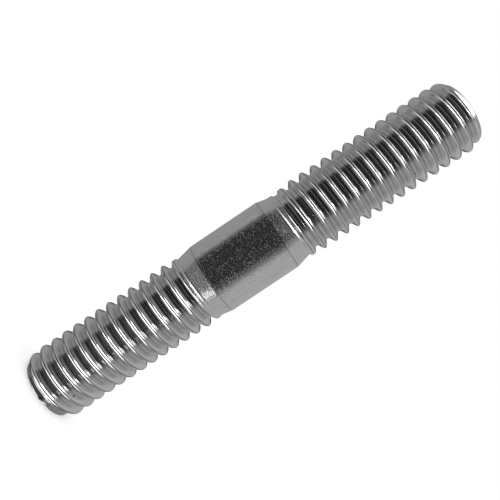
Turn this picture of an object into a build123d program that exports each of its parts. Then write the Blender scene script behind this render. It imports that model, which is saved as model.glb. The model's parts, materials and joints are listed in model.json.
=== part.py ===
"""Double ended stud: one steel bar with a rolled thread on each end and a plain shank between them.

The stud stands on its lower end face. The origin is the centre of that face, and +Z runs up the axis.
All lengths are in millimetres. Both threads are right-handed and share one 60 degree form.
"""

from build123d import *
from math import ceil, radians, tan
import os

# ---- thread form, the same on both ends
THREAD_DIAMETER = 5.82  # over the ridges
PITCH = 1.0
FLANK_ANGLE = 60.0  # between the two sides of a groove
CREST_LAND = 0.12  # width of the flat along the top of a ridge
ROOT_LAND = 0.28  # width of the floor of a groove

# ---- bar, from the lower end face up
LOWER_THREAD_LENGTH = 13.91  # end face to neck
LOWER_CONE_LENGTH = 1.33  # neck to shank
SHANK_LENGTH = 5.95
SHANK_DIAMETER = 5.82
UPPER_CONE_LENGTH = 1.12  # shank to neck
UPPER_THREAD_LENGTH = 15.51  # neck to end face

# ---- chamfered ends
LOWER_CHAMFER_LENGTH = 0.80
LOWER_CHAMFER_DEPTH = 0.49
UPPER_CHAMFER_LENGTH = 0.70
UPPER_CHAMFER_DEPTH = 0.46

# ---- run-out, the length over which each thread dies away at its neck
LOWER_CREST_FADE = 0.64
LOWER_ROOT_FADE = 0.40
UPPER_CREST_FADE = 1.26
UPPER_ROOT_FADE = 0.90

# ---- distance from each end face to its first groove, along the -Y side
LOWER_FIRST_GROOVE = 0.37
UPPER_FIRST_GROOVE = 0.82

# ---- how far the tools that cut the grooves stand out past what they cut
TOOL_OVERHANG = 0.05
SPARE_TURNS = 3

# ---- radii: rolling only moves metal, so the neck keeps the bar's size at half the thread's height
flank_spread = tan(radians(FLANK_ANGLE / 2))
thread_depth = (PITCH - CREST_LAND - ROOT_LAND) / 2 / flank_spread
crest_radius = THREAD_DIAMETER / 2
root_radius = crest_radius - thread_depth
neck_radius = crest_radius - thread_depth / 2
shank_radius = SHANK_DIAMETER / 2

# ---- heights above the lower end face
lower_neck = LOWER_THREAD_LENGTH
shank_bottom = lower_neck + LOWER_CONE_LENGTH
shank_top = shank_bottom + SHANK_LENGTH
upper_neck = shank_top + UPPER_CONE_LENGTH
stud_top = upper_neck + UPPER_THREAD_LENGTH


def turned(outline):
    """The solid that a half outline of (radius, height) points sweeps as it turns about the axis."""
    corners = [(radius, 0, height) for radius, height in outline]
    return revolve(make_face(Polyline(corners, close=True)), Axis.Z)


def plain_bar():
    """The stud without its grooves, with the ridges' own outline at each thread."""
    return turned(
        [
            (0, 0),
            (crest_radius - LOWER_CHAMFER_DEPTH, 0),
            (crest_radius, LOWER_CHAMFER_LENGTH),
            (crest_radius, lower_neck - LOWER_CREST_FADE),
            (neck_radius, lower_neck),
            (shank_radius, shank_bottom),
            (shank_radius, shank_top),
            (neck_radius, upper_neck),
            (crest_radius, upper_neck + UPPER_CREST_FADE),
            (crest_radius, stud_top - UPPER_CHAMFER_LENGTH),
            (crest_radius - UPPER_CHAMFER_DEPTH, stud_top),
            (0, stud_top),
        ]
    )


def groove(lowest, turns):
    """A right-handed groove of this many turns, whose floor starts at the lowest height, on the -Y side."""
    mouth_radius = crest_radius + TOOL_OVERHANG
    floor_half = ROOT_LAND / 2
    mouth_half = floor_half + (mouth_radius - root_radius) * flank_spread
    section = make_face(
        Polyline(
            (root_radius, 0, -floor_half),
            (mouth_radius, 0, -mouth_half),
            (mouth_radius, 0, mouth_half),
            (root_radius, 0, floor_half),
            close=True,
        )
    )
    one_turn = Helix(pitch=PITCH, height=PITCH, radius=root_radius).edge()
    spiral = Wire([Pos(0, 0, turn * PITCH) * one_turn for turn in range(turns)])
    # a quarter turn takes the floor from the -Y side to the +X side, where the section starts
    return Pos(0, 0, lowest + PITCH / 4) * sweep(section, path=spiral, is_frenet=True)


def run_out(neck, fade, far_end):
    """A flared plug that ends a groove: its side climbs from the groove's floor to the neck and beyond."""
    rim_radius = crest_radius + 2 * TOOL_OVERHANG
    climb = fade / (neck_radius - root_radius)
    return turned(
        [
            (0, neck + climb * (root_radius - TOOL_OVERHANG - neck_radius)),
            (root_radius - TOOL_OVERHANG, neck + climb * (root_radius - TOOL_OVERHANG - neck_radius)),
            (rim_radius, neck + climb * (rim_radius - neck_radius)),
            (rim_radius, far_end),
            (0, far_end),
        ]
    )


def stud():
    """The plain bar, less a groove wound along each end from past its end face to its neck."""
    lower_turns = ceil(LOWER_THREAD_LENGTH / PITCH) + SPARE_TURNS
    upper_turns = ceil(UPPER_THREAD_LENGTH / PITCH) + SPARE_TURNS
    lower_lowest = LOWER_FIRST_GROOVE - 2 * PITCH
    upper_lowest = stud_top - UPPER_FIRST_GROOVE + (2 - upper_turns) * PITCH
    lower_groove = groove(lower_lowest, lower_turns) - run_out(lower_neck, LOWER_ROOT_FADE, stud_top)
    upper_groove = groove(upper_lowest, upper_turns) - run_out(upper_neck, -UPPER_ROOT_FADE, 0)
    return plain_bar() - lower_groove - upper_groove


os.makedirs("parts", exist_ok=True)
export_step(stud(), "parts/stud.step")
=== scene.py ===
"""A double ended stud standing on its lower end face, on a white table in plain studio light.

All objects are in metres in the part's own frame: the origin is the centre of the lower end face, and +Z runs
up the axis. The functions that work out the stud's surface take and give millimetres.
"""

import json
from math import radians, tan
from typing import NamedTuple

import bpy
import numpy as np
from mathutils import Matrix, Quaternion, Vector


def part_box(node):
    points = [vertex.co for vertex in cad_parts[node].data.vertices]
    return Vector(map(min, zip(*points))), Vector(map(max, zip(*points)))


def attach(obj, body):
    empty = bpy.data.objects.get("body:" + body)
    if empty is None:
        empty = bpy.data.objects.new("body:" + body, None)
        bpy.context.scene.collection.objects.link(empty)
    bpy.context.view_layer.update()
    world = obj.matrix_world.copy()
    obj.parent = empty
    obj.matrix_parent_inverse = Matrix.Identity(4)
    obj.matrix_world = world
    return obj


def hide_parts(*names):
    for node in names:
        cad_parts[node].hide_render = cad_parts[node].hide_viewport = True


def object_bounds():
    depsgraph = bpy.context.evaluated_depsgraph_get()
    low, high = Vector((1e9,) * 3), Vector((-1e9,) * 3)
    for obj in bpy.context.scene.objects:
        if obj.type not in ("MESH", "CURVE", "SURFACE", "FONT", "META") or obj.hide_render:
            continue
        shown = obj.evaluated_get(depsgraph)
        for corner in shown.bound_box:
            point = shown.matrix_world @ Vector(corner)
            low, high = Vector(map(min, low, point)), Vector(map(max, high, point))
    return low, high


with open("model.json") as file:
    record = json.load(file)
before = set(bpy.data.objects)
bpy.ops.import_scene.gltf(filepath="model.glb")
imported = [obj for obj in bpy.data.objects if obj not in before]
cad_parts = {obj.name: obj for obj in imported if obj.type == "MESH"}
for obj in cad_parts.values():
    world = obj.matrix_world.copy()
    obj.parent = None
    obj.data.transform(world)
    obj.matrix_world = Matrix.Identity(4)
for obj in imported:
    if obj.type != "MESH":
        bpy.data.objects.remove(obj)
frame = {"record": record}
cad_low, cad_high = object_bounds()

# ---- Stud ------------------------------------------------------------------------------------------------
# One bar of steel: a rolled thread on each end, a plain shank with a cone at each side, and chamfered ends.
# The threads are pressed into the bar between dies, so each ridge is two lips of metal that meet in a seam.
# A thin bright coat of zinc covers it all.

MM = 0.001
PITCH = 1.0
HALF_FLANK = tan(radians(30))  # width over height of one side of a groove
GROOVE_DEPTH = 0.524
NECK_DEPTH = 0.264

stud_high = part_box("stud")[1]
ridge_radius = stud_high.x / MM
stud_top = stud_high.z / MM
floor_radius = ridge_radius - GROOVE_DEPTH
neck_radius = ridge_radius - NECK_DEPTH
mounts = {mount["name"]: mount for mount in frame["record"]["mounts"]}


def span(name):
    """The heights at which a mount that lies along the stud starts and ends."""
    middle = mounts[name]["pos_m"][2] / MM
    half = mounts[name]["dims"]["length_mm"] / 2
    return middle - half, middle + half


lower_neck = span("lower_thread")[1]
shank_bottom, shank_top = span("shank")
upper_neck = span("upper_thread")[0]
shank_middle = (shank_bottom + shank_top) / 2


def blend_min(a, b, reach):
    """The lesser of two fields, with the corner between them rounded where they differ by less than reach.

    The rounding takes off a quarter of reach times the square of 1 less the difference over reach."""
    near = np.clip(1 - np.abs(a - b) / reach, 0, 1)
    return np.minimum(a, b) - near**2 * reach / 4


def blend_max(a, b, reach):
    """The greater of two fields, with the corner between them filled in the same way."""
    return -blend_min(-a, -b, reach)


def line(height, start, end):
    """The straight line through two (height, radius) points, carried on past both."""
    (h0, r0), (h1, r1) = start, end
    return r0 + (height - h0) * (r1 - r0) / (h1 - h0)


LOWER_RUN_OUT = 0.30  # length over which a groove's floor climbs to the neck
UPPER_RUN_OUT = 0.85
SHANK_BLEND = 0.02
NECK_BLEND = 0.05


def bar_radius(height):
    """Radius of the unthreaded bar: the least of the shank, its cones and the slopes where rolling ends."""
    lower_cone = line(height, (lower_neck, neck_radius), (shank_bottom, ridge_radius))
    upper_cone = line(height, (upper_neck, neck_radius), (shank_top, ridge_radius))
    lower_slope = line(height, (lower_neck - LOWER_RUN_OUT, floor_radius), (lower_neck, neck_radius))
    upper_slope = line(height, (upper_neck + UPPER_RUN_OUT, floor_radius), (upper_neck, neck_radius))
    cones = blend_min(lower_cone, upper_cone, SHANK_BLEND)
    shank = blend_min(cones, ridge_radius + 0 * height, SHANK_BLEND)
    return blend_min(blend_min(shank, lower_slope, NECK_BLEND), upper_slope, NECK_BLEND)


class Lip(NamedTuple):
    """One side of a ridge's top: the radius of its rounding, and its slope in degrees at the seam."""

    radius: float
    slope: float


class Thread(NamedTuple):
    """One rolled thread: how its ridges lie and look, and how it starts and ends.

    The tops and the floors are limits on the radius of a ridge and of a groove's floor. Each is a list of
    turns along the thread and the list of radii there."""

    ridge_height: float  # of ridge number 0, on the -Y side
    lip_below: Lip
    lip_above: Lip
    tops: tuple
    floors: tuple


NO_LIMIT = ridge_radius + 0.1
LOWER_THREAD = Thread(
    ridge_height=0.87,
    lip_below=Lip(0.62, 24),
    lip_above=Lip(0.62, 36),
    tops=(
        [-1, -0.7, -0.3, 0, 12.4, 12.75, 13, 13.2, 13.45],
        [2.40, 2.42, 2.75, NO_LIMIT, NO_LIMIT, 2.78, 2.83, 2.87, 2.5],
    ),
    floors=([-0.5, 0.3, 12.7, 13.2], [2.42, floor_radius, floor_radius, 2.6]),
)
UPPER_THREAD = Thread(
    ridge_height=24.499,
    lip_below=Lip(0.31, 20),
    lip_above=Lip(0.38, 27),
    tops=([-2.6, -2.25, -2, -1.75, -1.25, -0.75], [2.5, 2.70, 2.82, 2.79, 2.77, NO_LIMIT]),
    floors=([-2.0, -1.75, -1.25], [2.6, 2.54, floor_radius]),
)


def ridge_drop(across, thread):
    """How far a ridge's side has fallen at a signed distance from its seam.

    Each lip is an arc: the sine of its slope starts at the lip's own at the seam, and grows by the distance
    over the radius until it is the flank's. From there the side runs on straight."""
    below, above = thread.lip_below, thread.lip_above
    rounding = np.where(across > 0, above.radius, below.radius)
    sine_start = np.where(across > 0, np.sin(radians(above.slope)), np.sin(radians(below.slope)))
    sine = sine_start + np.abs(across) / rounding
    sine_end = 1 / np.sqrt(1 + HALF_FLANK**2)
    sine_arc = np.minimum(sine, sine_end)
    arc = rounding * (np.sqrt(1 - sine_start**2) - np.sqrt(1 - sine_arc**2))
    return arc + (sine - sine_arc) * rounding / HALF_FLANK


RIDGE_LIFT = 0.015  # keeps the lips at full radius beside the seam
SEAM_DEPTH = 0.02
SEAM_WIDTH = 0.02
TOP_BLEND = 0.09
FLOOR_BLENDS = ([-0.3, 0.2], [0.03, 0.17])  # turns along the thread, and the rounding there
WOBBLES = ((0.006, 2.3, 0), (0.004, 5.1, 1))  # size, radians to the turn, start


def thread_radius(height, turn, thread):
    """Radius of one thread at a height and a turn about the axis, which is 0 at -Y and 1 once round.

    The distance from the nearest ridge is the height less the turn, wrapped to half a pitch each way. The
    ridge falls away from it as ridge_drop says, is held to its limit, and meets the floor in a rounding."""
    along = (height - thread.ridge_height) / PITCH - turn
    ridge = np.round(along)
    across = (along - ridge) * PITCH
    ridge_turns = ridge + turn
    floor_turns = np.floor(along) + 0.5 + turn
    top = np.interp(ridge_turns, *thread.tops)
    floor = np.interp(floor_turns, *thread.floors)
    wobble = sum(size * np.sin(rate * ridge_turns + start) for size, rate, start in WOBBLES)
    body = blend_min(ridge_radius + RIDGE_LIFT + wobble - ridge_drop(across, thread), top, TOP_BLEND)
    seam = SEAM_DEPTH * np.exp(-((across / SEAM_WIDTH) ** 2))
    return blend_max(body, floor, np.interp(floor_turns, *FLOOR_BLENDS)) - seam


class End(NamedTuple):
    """One end of the stud: its face's height, which way is into the stud, its chamfer and its rim."""

    face: float
    way: int
    length: float
    depth: float
    blend: float  # between the chamfer and the thread
    rim: float  # radius of the rim's rounding


ENDS = (End(0, 1, 0.80, 0.49, 0.05, 0.04), End(stud_top, -1, 0.70, 0.46, 0.25, 0.08))
THREAD_BLEND = 0.04
BURR_SIZE = 0.09
BURR_TURN = 0.02
BURR_WIDTH = 0.008  # in turns
BURR_HEIGHT = 0.08


def side_radius(height, turn):
    """Radius of the whole side: the greater of the thread and the bar, cut back at each end.

    A chamfer's radius grows evenly with the distance from the face, and the rim is a quarter circle. The
    burr is a bell curve in turn and height on the lower rim."""
    lower = thread_radius(height, turn, LOWER_THREAD)
    upper = thread_radius(height, turn, UPPER_THREAD)
    thread = np.where(height < shank_middle, lower, upper)
    radius = blend_max(thread, bar_radius(height), THREAD_BLEND)
    for end in ENDS:
        inward = (height - end.face) * end.way
        radius = blend_min(radius, ridge_radius - end.depth * (1 - inward / end.length), end.blend)
        radius -= end.rim - np.sqrt(end.rim**2 - np.clip(end.rim - inward, 0, end.rim) ** 2)
    burr = BURR_SIZE * np.exp(-(((turn - BURR_TURN) / BURR_WIDTH) ** 2) - (height / BURR_HEIGHT) ** 2)
    return np.minimum(radius + burr, ridge_radius)


COLUMNS = 100
# distances of the rows from a ridge, closest where the lips are
ROW_OFFSETS = np.array([0.014, 0.032, 0.055, 0.085, 0.13, 0.18, 0.25, 0.32, 0.36, 0.40, 0.44, 0.47])
SPARE_TURNS = 3
SHANK_SAVING = 2.629  # turns left out along the shank, where rows stand further apart
SHANK_MARGIN = 0.2  # length at each end of the shank where they stand as close as on the threads
FACE_TURNS = 1.0  # turns of the winding that cover an end face
FACE_POWER = 1.5  # sets the rows of a face closer at its rim


def wound_surface():
    """The stud's surface as one strip wound about the axis, like the threads themselves.

    A row keeps its distance from the ridge while it climbs one pitch in each turn, so the last column of a
    row joins the first column of the row one turn on. Beyond the rims of the two end faces a row goes inward
    instead of up, and the strip closes at each face's centre."""
    phases = np.sort(np.concatenate([-ROW_OFFSETS, [0.0], ROW_OFFSETS, [0.5]])) + LOWER_THREAD.ridge_height
    per_turn = len(phases)
    top_wound = stud_top - SHANK_SAVING
    turns = np.arange(-SPARE_TURNS, int(top_wound) + SPARE_TURNS)
    rows = (turns[:, None] + phases[None, :]).ravel()
    turn = np.arange(COLUMNS)[None, :] / COLUMNS
    wound = rows[:, None] + turn
    shank_start, shank_end = shank_bottom + SHANK_MARGIN, shank_top - SHANK_MARGIN
    height = np.interp(
        wound, [0, shank_start, shank_end - SHANK_SAVING, top_wound], [0, shank_start, shank_end, stud_top]
    )
    inward = np.clip(np.maximum(-wound, wound - top_wound) / FACE_TURNS, 0, 1)
    radius = side_radius(height, turn) * (1 - inward**FACE_POWER)
    angle = 2 * np.pi * turn - np.pi / 2
    points = np.stack([radius * np.cos(angle), radius * np.sin(angle), height], axis=-1).reshape(-1, 3)

    index = np.arange(len(rows) * COLUMNS).reshape(len(rows), COLUMNS)
    here = index[:-per_turn]
    following = np.concatenate([here[:, 1:], index[per_turn:, :1]], axis=1)
    corners = np.stack([here[:-1], following[:-1], following[1:], here[1:]], axis=-1).reshape(-1, 4)
    at_centre = inward.ravel() >= 1
    in_lower_half = points[:, 2] < stud_top / 2
    for centre in (at_centre & in_lower_half, at_centre & ~in_lower_half):
        members = np.flatnonzero(centre)
        corners[np.isin(corners, members)] = members[0]
    triangles = np.concatenate([corners[:, [0, 1, 2]], corners[:, [0, 2, 3]]])
    whole = (triangles != np.roll(triangles, 1, axis=1)).all(axis=1)
    used, triangles = np.unique(triangles[whole], return_inverse=True)
    return points[used] * MM, triangles.reshape(-1, 3)


def mesh_object(name, points, faces):
    """A smooth-shaded object at the origin from arrays of points and faces."""
    mesh = bpy.data.meshes.new(name)
    mesh.from_pydata(points, [], faces)
    mesh.shade_smooth()
    made = bpy.data.objects.new(name, mesh)
    bpy.context.scene.collection.objects.link(made)
    return made


class Socket:
    """A node's output, with arithmetic that adds Math nodes."""

    def __init__(self, nodes, output):
        self.nodes = nodes
        self.output = output

    def math(self, operation, *others):
        """One Math node, with this value first."""
        return self.nodes.add("Math", {"operation": operation}, self, *others)

    def faded(self, start, end, low, high, shape="LINEAR"):
        """Goes from low to high while this value goes from start to end."""
        return self.nodes.add("MapRange", {"interpolation_type": shape}, self, start, end, low, high)

    def __add__(self, other):
        return self.math("ADD", other)

    def __sub__(self, other):
        return self.math("SUBTRACT", other)

    def __mul__(self, other):
        return self.math("MULTIPLY", other)

    def __rsub__(self, other):
        return self.nodes.add("Math", {"operation": "SUBTRACT"}, other, self)

    __radd__ = __add__
    __rmul__ = __mul__


class Nodes:
    """The nodes of a material or of the world, cleared at the start."""

    def __init__(self, owner):
        owner.use_nodes = True
        self.tree = owner.node_tree
        self.tree.nodes.clear()

    def add(self, kind, settings, *values, output=0, **named):
        """Adds a node, sets it up, fills its inputs with values or links, and returns one of its outputs."""
        node = self.tree.nodes.new("ShaderNode" + kind)
        for key, setting in settings.items():
            setattr(node, key, setting)
        for key, value in [*enumerate(values), *named.items()]:
            if isinstance(key, str) and key not in node.inputs:
                key = next(i for i, socket in enumerate(node.inputs) if socket.identifier == key)
            if isinstance(value, Socket):
                self.tree.links.new(value.output, node.inputs[key])
            else:
                node.inputs[key].default_value = value
        return Socket(self, node.outputs[output]) if node.outputs else None

    def noise(self, place, scale, detail, roughness):
        """Noise from 0 to 1 at a place, with this many lumps to the millimetre."""
        return self.add("TexNoise", {}, Vector=place, Scale=scale, Detail=detail, Roughness=roughness)

    def mix(self, factor, a, b):
        """The colour a where the factor is 0, and b where it is 1."""
        return self.add("Mix", {"data_type": "RGBA"}, factor, output=2, A_Color=a, B_Color=b)


BUMP_HEIGHT = 0.004  # what a relief of 1 stands for
COAT_DULL = (0.72, 0.727, 0.735, 1)
COAT_BRIGHT = (0.77, 0.776, 0.785, 1)
BLACK = (0, 0, 0, 1)
THREAD_FADE = 0.3  # length over which the thread's finish turns into the bar's
CONE_FADE = 0.2
RING_WIDTH = 0.08
# how dark the painted shade in the rings at the ends of the shank is
RING_PAINTED_SHADE = 0.4
# how dark the painted shade in the seams of the ridges is
SEAM_PAINTED_SHADE = 0.6
# how dark the painted shade in the floors of the grooves is
GROOVE_PAINTED_SHADE = 0.22
NICK_DARKNESS = 0.8
NICKS = (  # place and radius
    ((1.55, -2.16, 2.20), 0.11),
    ((1.93, -1.43, 32.07), 0.11),
    ((1.60, -1.95, 32.33), 0.07),
    ((-1.31, -2.58, 36.38), 0.11),
)


def bright_zinc():
    """Thin zinc on rolled steel: a fine worm-like grain on the bar, and streaks along the threads' turns."""
    made = bpy.data.materials.new("bright zinc")
    nodes = Nodes(made)
    place = nodes.add("TexCoord", {}, output="Object")
    place = nodes.add("VectorMath", {"operation": "SCALE"}, place, Scale=1 / MM)
    x, y, z = (nodes.add("SeparateXYZ", {}, place, output=axis) for axis in "XYZ")
    out = (x * x + y * y).math("SQRT")

    # 1 on the two threads and 0 on the cones and the shank between them
    threaded = z.faded(lower_neck - THREAD_FADE, lower_neck, 1, 0)
    threaded = threaded + z.faded(upper_neck, upper_neck + THREAD_FADE, 0, 1)

    # 1 on the cones and beyond them, and 1 on the lower side of the shank alone
    along_shank = (z - shank_bottom).math("MINIMUM", shank_top - z)
    on_cone = along_shank.faded(0, CONE_FADE, 1, 0)
    on_lower_cone = on_cone * z.math("LESS_THAN", shank_bottom + CONE_FADE)

    # a fine groove in the relief runs round the bar at each end of the shank, and the same rings are darkened
    # with painted shade
    from_corners = (z - shank_bottom).math("ABSOLUTE").math("MINIMUM", (z - shank_top).math("ABSOLUTE"))
    rings = from_corners.faded(0, RING_WIDTH, 1, 0, "SMOOTHSTEP")

    # the level lines of coarse noise are thin worms, and fine noise frays them
    grain = nodes.noise(place, 9, 2, 0.6)
    lines = (nodes.noise(place, 4.5, 1.5, 0.6) - 0.5).math("ABSOLUTE")
    worms = lines.faded(0, 0.045, 1, 0, "SMOOTHSTEP") * grain.faded(0.42, 0.58, 0, 1)
    blotches = nodes.noise(place, 0.9, 3, 0.6)
    bar_relief = (grain * 0.9 + worms * 1.2) * (1 + on_lower_cone * 0.4 - on_cone * 0.3) - rings * 0.8

    # along the thread the phase stays the same, so noise on its circle gives streaks that follow the turns
    phase = z * (2 * np.pi / PITCH) - y.math("ARCTAN2", x)
    ring = PITCH / (2 * np.pi)
    wound = nodes.add("CombineXYZ", {}, phase.math("COSINE") * ring, phase.math("SINE") * ring, z * 0.05)
    thread_relief = nodes.noise(wound, 20, 2, 0.5) * 0.12 + grain * 0.08

    # the tool that faced off the ends left rings
    on_face = z.math("LESS_THAN", 0.002).math("MAXIMUM", z.math("GREATER_THAN", stud_top - 0.002))
    turned = nodes.noise(nodes.add("CombineXYZ", {}, out), 7, 2, 0.5)
    relief = bar_relief * (1 - threaded) + thread_relief * threaded + turned * on_face
    bump = nodes.add("Bump", {}, 1.0, BUMP_HEIGHT * MM, Height=relief)

    # the seam of a ridge gets painted shade, where the cosine of the phase from it is near 1
    seam_phase = np.pi / 2 + 2 * np.pi * LOWER_THREAD.ridge_height / PITCH
    step = 2 * np.pi * (UPPER_THREAD.ridge_height - LOWER_THREAD.ridge_height) / PITCH
    on_upper = z.math("GREATER_THAN", shank_middle)
    seam = (phase - seam_phase - on_upper * step).math("COSINE").faded(0.945, 0.99, 0, 1) * threaded
    # the seams, and the rings at the ends of the shank, get painted shade
    dark = (seam * SEAM_PAINTED_SHADE).math("MAXIMUM", rings * RING_PAINTED_SHADE)

    # painted shade darkens the floors of the grooves a little, and more beside the lower face, but not the
    # face itself
    groove_shade = out.faded(floor_radius + 0.04, floor_radius + 0.26, GROOVE_PAINTED_SHADE, 0)
    groove_shade = groove_shade * z.math("GREATER_THAN", 0.01) * z.faded(0.4, 1, 2.2, 1)
    dark = dark.math("MAXIMUM", groove_shade)

    # four small nicks have gone dark
    for nick, size in NICKS:
        apart = nodes.add("VectorMath", {"operation": "DISTANCE"}, place, nick, output="Value")
        dark = dark.math("MAXIMUM", apart.faded(size * 0.6, size, NICK_DARKNESS, 0))

    colour = nodes.mix(blotches.faded(0.35, 0.65, 0, 1), COAT_DULL, COAT_BRIGHT)
    colour = nodes.mix(dark, colour, BLACK)
    roughness = 0.15 + (worms * 0.45 + on_cone * 0.08) * (1 - threaded) + blotches * 0.06 - threaded * 0.03
    inputs = {"Base Color": colour, "Metallic": 1, "Roughness": roughness, "Normal": bump}
    nodes.add("OutputMaterial", {}, nodes.add("BsdfPrincipled", {}, **inputs))
    return made


stud = mesh_object("zinc_stud", *wound_surface())
stud.data.materials.append(bright_zinc())
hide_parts("stud")
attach(stud, "root")

# ---- Floor, cards and lights -----------------------------------------------------------------------------
# A white table top under a white tent. Bare metal shows what stands round it, so a black card goes round the
# camera and another behind the stud, and bright cards above and below light the sides of the ridges.

WHITE = (1, 1, 1, 1)


def seen_directly(nodes):
    """1 for rays from the camera and for those that left the metal, 0 for those that light a matt surface."""
    camera_ray = nodes.add("LightPath", {}, output="Is Camera Ray")
    glossy_ray = nodes.add("LightPath", {}, output="Is Glossy Ray")
    through_ray = nodes.add("LightPath", {}, output="Is Transmission Ray")
    return camera_ray.math("MAXIMUM", glossy_ray).math("MAXIMUM", through_ray)


TABLE_HALF = 2.0
TABLE_GREY = (0.8, 0.8, 0.8, 1)
TABLE_LIFT = 0.53  # light of its own that keeps the table white where the lamp fades

corners = [(-1, -1), (1, -1), (1, 1), (-1, 1)]
floor = mesh_object("floor", [(x * TABLE_HALF, y * TABLE_HALF, 0) for x, y in corners], [(0, 1, 2, 3)])
floor.visible_glossy = False
table = bpy.data.materials.new("white table")
nodes = Nodes(table)
paper = nodes.add("BsdfDiffuse", {}, TABLE_GREY)
lift = nodes.add("Emission", {}, WHITE, seen_directly(nodes) * TABLE_LIFT)
nodes.add("OutputMaterial", {}, nodes.add("AddShader", {}, paper, lift))
floor.data.materials.append(table)


def glow(name, strength, painted=None):
    """A material that gives off white light, everywhere the same or as the named attribute says."""
    made = bpy.data.materials.new(name)
    nodes = Nodes(made)
    colour = nodes.add("Attribute", {"attribute_name": painted}, output="Fac") if painted else WHITE
    nodes.add("OutputMaterial", {}, nodes.add("Emission", {}, colour, strength))
    return made


def card(name, points, faces, material):
    """A piece of the tent, which lights and shows only in the metal."""
    made = mesh_object(name, points, faces)
    made.data.materials.append(material)
    made.visible_camera = False
    made.visible_diffuse = False
    made.visible_shadow = False
    return made


middle = Vector((0, 0, (cad_low.z + cad_high.z) / 2))
TENT_RADIUS = 0.3
TENT_WHITE = 0.475
TENT_PATCHES = (
    # level, azimuths, elevations, and the soft widths of the left, right, lower and upper edge
    (0.355, (-170, -85), (-75, 75), (20, 20, 20, 20)),  # the left side, a little darker
    (0.178, (-77, 49.5), (-35, 39), (16, 24, 8, 8)),  # the black card round the camera, out to its pale edge
    (0.03, (-77, 42), (-24, 37), (16, 34, 14, 10)),  # the same card's dark middle
    (0.045, (164, 196), (-38, 38), (12, 12, 14, 14)),  # the black card behind the stud
    (0.05, (120, 240), (-78, -40), (30, 30, 10, 10)),  # the dark below it
    (0.80, (-130, -60), (-75, -52), (20, 20, 16, 10)),  # a bright patch low on the left
    (0.40, (102, 107), (-20, 20), (3, 3, 10, 10)),  # a narrow fold on the right
)


def soft_patch(azimuth, elevation, azimuths, elevations, soft):
    """1 inside a patch of the tent and 0 outside, with edges that fade over the soft widths, all in degrees.

    It is the least of four fades, one to an edge: the distance inside it over its soft width, plus a half."""
    left, right, below, above = soft
    half = (azimuths[1] - azimuths[0]) / 2
    across = (azimuth - azimuths[0] - half + 180) % 360 - 180
    inside = np.clip((across + half) / left + 0.5, 0, 1)
    inside = np.minimum(inside, np.clip((half - across) / right + 0.5, 0, 1))
    inside = np.minimum(inside, np.clip((elevation - elevations[0]) / below + 0.5, 0, 1))
    return np.minimum(inside, np.clip((elevations[1] - elevation) / above + 0.5, 0, 1))


def tent():
    """The tent: a sphere round the stud's middle that gives off light, darker where the black cards hang.

    A point of it lies along an azimuth, from -Y towards +X, and an elevation."""
    degrees_round = np.linspace(-180, 180, 145)[:, None]
    degrees_up = np.linspace(-90, 90, 73)[None, :]
    azimuth, elevation = np.radians(degrees_round), np.radians(degrees_up)
    directions = np.stack(
        [
            np.sin(azimuth) * np.cos(elevation),
            -np.cos(azimuth) * np.cos(elevation),
            np.sin(elevation) + 0 * azimuth,
        ],
        axis=-1,
    )
    level = TENT_WHITE + 0 * degrees_round + 0 * degrees_up
    for shade, *patch in TENT_PATCHES:
        level += (shade - level) * soft_patch(degrees_round, degrees_up, *patch)
    index = np.arange(level.size).reshape(level.shape)
    faces = np.stack([index[:-1, :-1], index[:-1, 1:], index[1:, 1:], index[1:, :-1]], axis=-1).reshape(-1, 4)
    points = directions.reshape(-1, 3) * TENT_RADIUS + np.array(middle)
    made = card("tent", points, faces.tolist(), glow("tent", 1, painted="level"))
    made.data.attributes.new("level", "FLOAT", "POINT").data.foreach_set("value", level.ravel())


tent()

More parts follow.
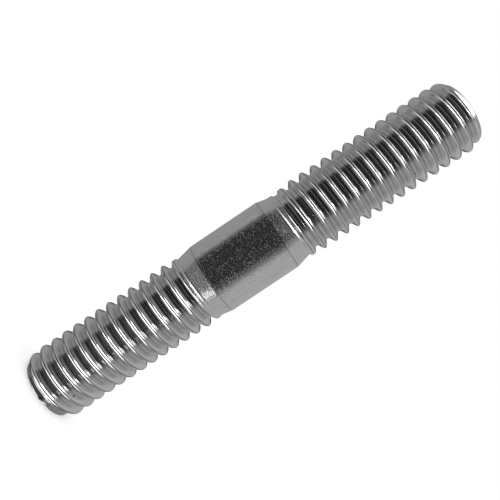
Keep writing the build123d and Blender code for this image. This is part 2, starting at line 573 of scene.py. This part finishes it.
CARD_DISTANCE = 0.1
CARDS = {  # corners in card distances from the axis, above the stud's middle or below it, and strength
    "upper lamp": (
        [(-0.45, -0.58), (0.45, -0.58), (0.38, -0.15), (0.25, 0.02), (0, 0.3), (-0.46, 0.3), (-0.38, -0.15)],
        1,
        3.2,
    ),
    "lower lamp": ([(-0.34, 0.17), (-0.42, -0.56), (0.36, -0.60), (0.60, -0.35), (0.60, 0.17)], -1, 3.2),
    "corner": ([(0.253, -0.625), (0.431, -1.066), (0.692, -0.918), (0.406, -0.539)], -1, 7),
    "spark": ([(0.69, -1.30), (0.84, -1.58), (1.34, -1.20), (1.09, -0.98)], -1, 4),
}
for name, (outline, way, strength) in CARDS.items():
    points = [middle + Vector((x, y, way)) * CARD_DISTANCE for x, y in outline]
    card(name + " card", points, [tuple(range(len(outline)))], glow(name, strength))

lamp_data = bpy.data.lights.new("overhead lamp", "AREA")
lamp_data.shape = "RECTANGLE"
lamp_data.size = lamp_data.size_y = 0.2
lamp_data.energy = 0.1
lamp = bpy.data.objects.new("overhead lamp", lamp_data)
lamp.location = (0, -0.03, 0.25)
lamp.visible_glossy = False
bpy.context.scene.collection.objects.link(lamp)

ROOM_LEVEL = 0.6  # what the room gives to matt surfaces; the camera and the metal see it as white

world = bpy.data.worlds.new("studio")
bpy.context.scene.world = world
nodes = Nodes(world)
level = seen_directly(nodes) * (1 - ROOM_LEVEL) + ROOM_LEVEL
nodes.add("OutputWorld", {}, nodes.add("Background", {}, WHITE, level))

# ---- Camera ----------------------------------------------------------------------------------------------
# Level with the middle of the stud and close to it, turned so that the stud leans to the right.

FIELD = 630.69 / 500  # focal length over picture width
SENSOR = 36
CAMERA_PLACE = Vector((-0.034, -47.988, 20.169)) * MM
CAMERA_AIM = Vector((-0.175, 0, 18.856)) * MM
CAMERA_TURN = 56.19  # degrees about the line of sight

camera_data = bpy.data.cameras.new("camera")
camera_data.sensor_width = SENSOR
camera_data.lens = FIELD * SENSOR
camera_data.clip_start = 0.001
camera_data.clip_end = 20
camera = bpy.data.objects.new("camera", camera_data)
bpy.context.scene.collection.objects.link(camera)
sight = CAMERA_AIM - CAMERA_PLACE
turned = Quaternion(sight.normalized(), -radians(CAMERA_TURN))
camera.location = CAMERA_PLACE
camera.rotation_mode = "QUATERNION"
camera.rotation_quaternion = turned @ sight.to_track_quat("-Z", "Y")
bpy.context.scene.camera = camera
bpy.context.scene.view_settings.view_transform = "Standard"
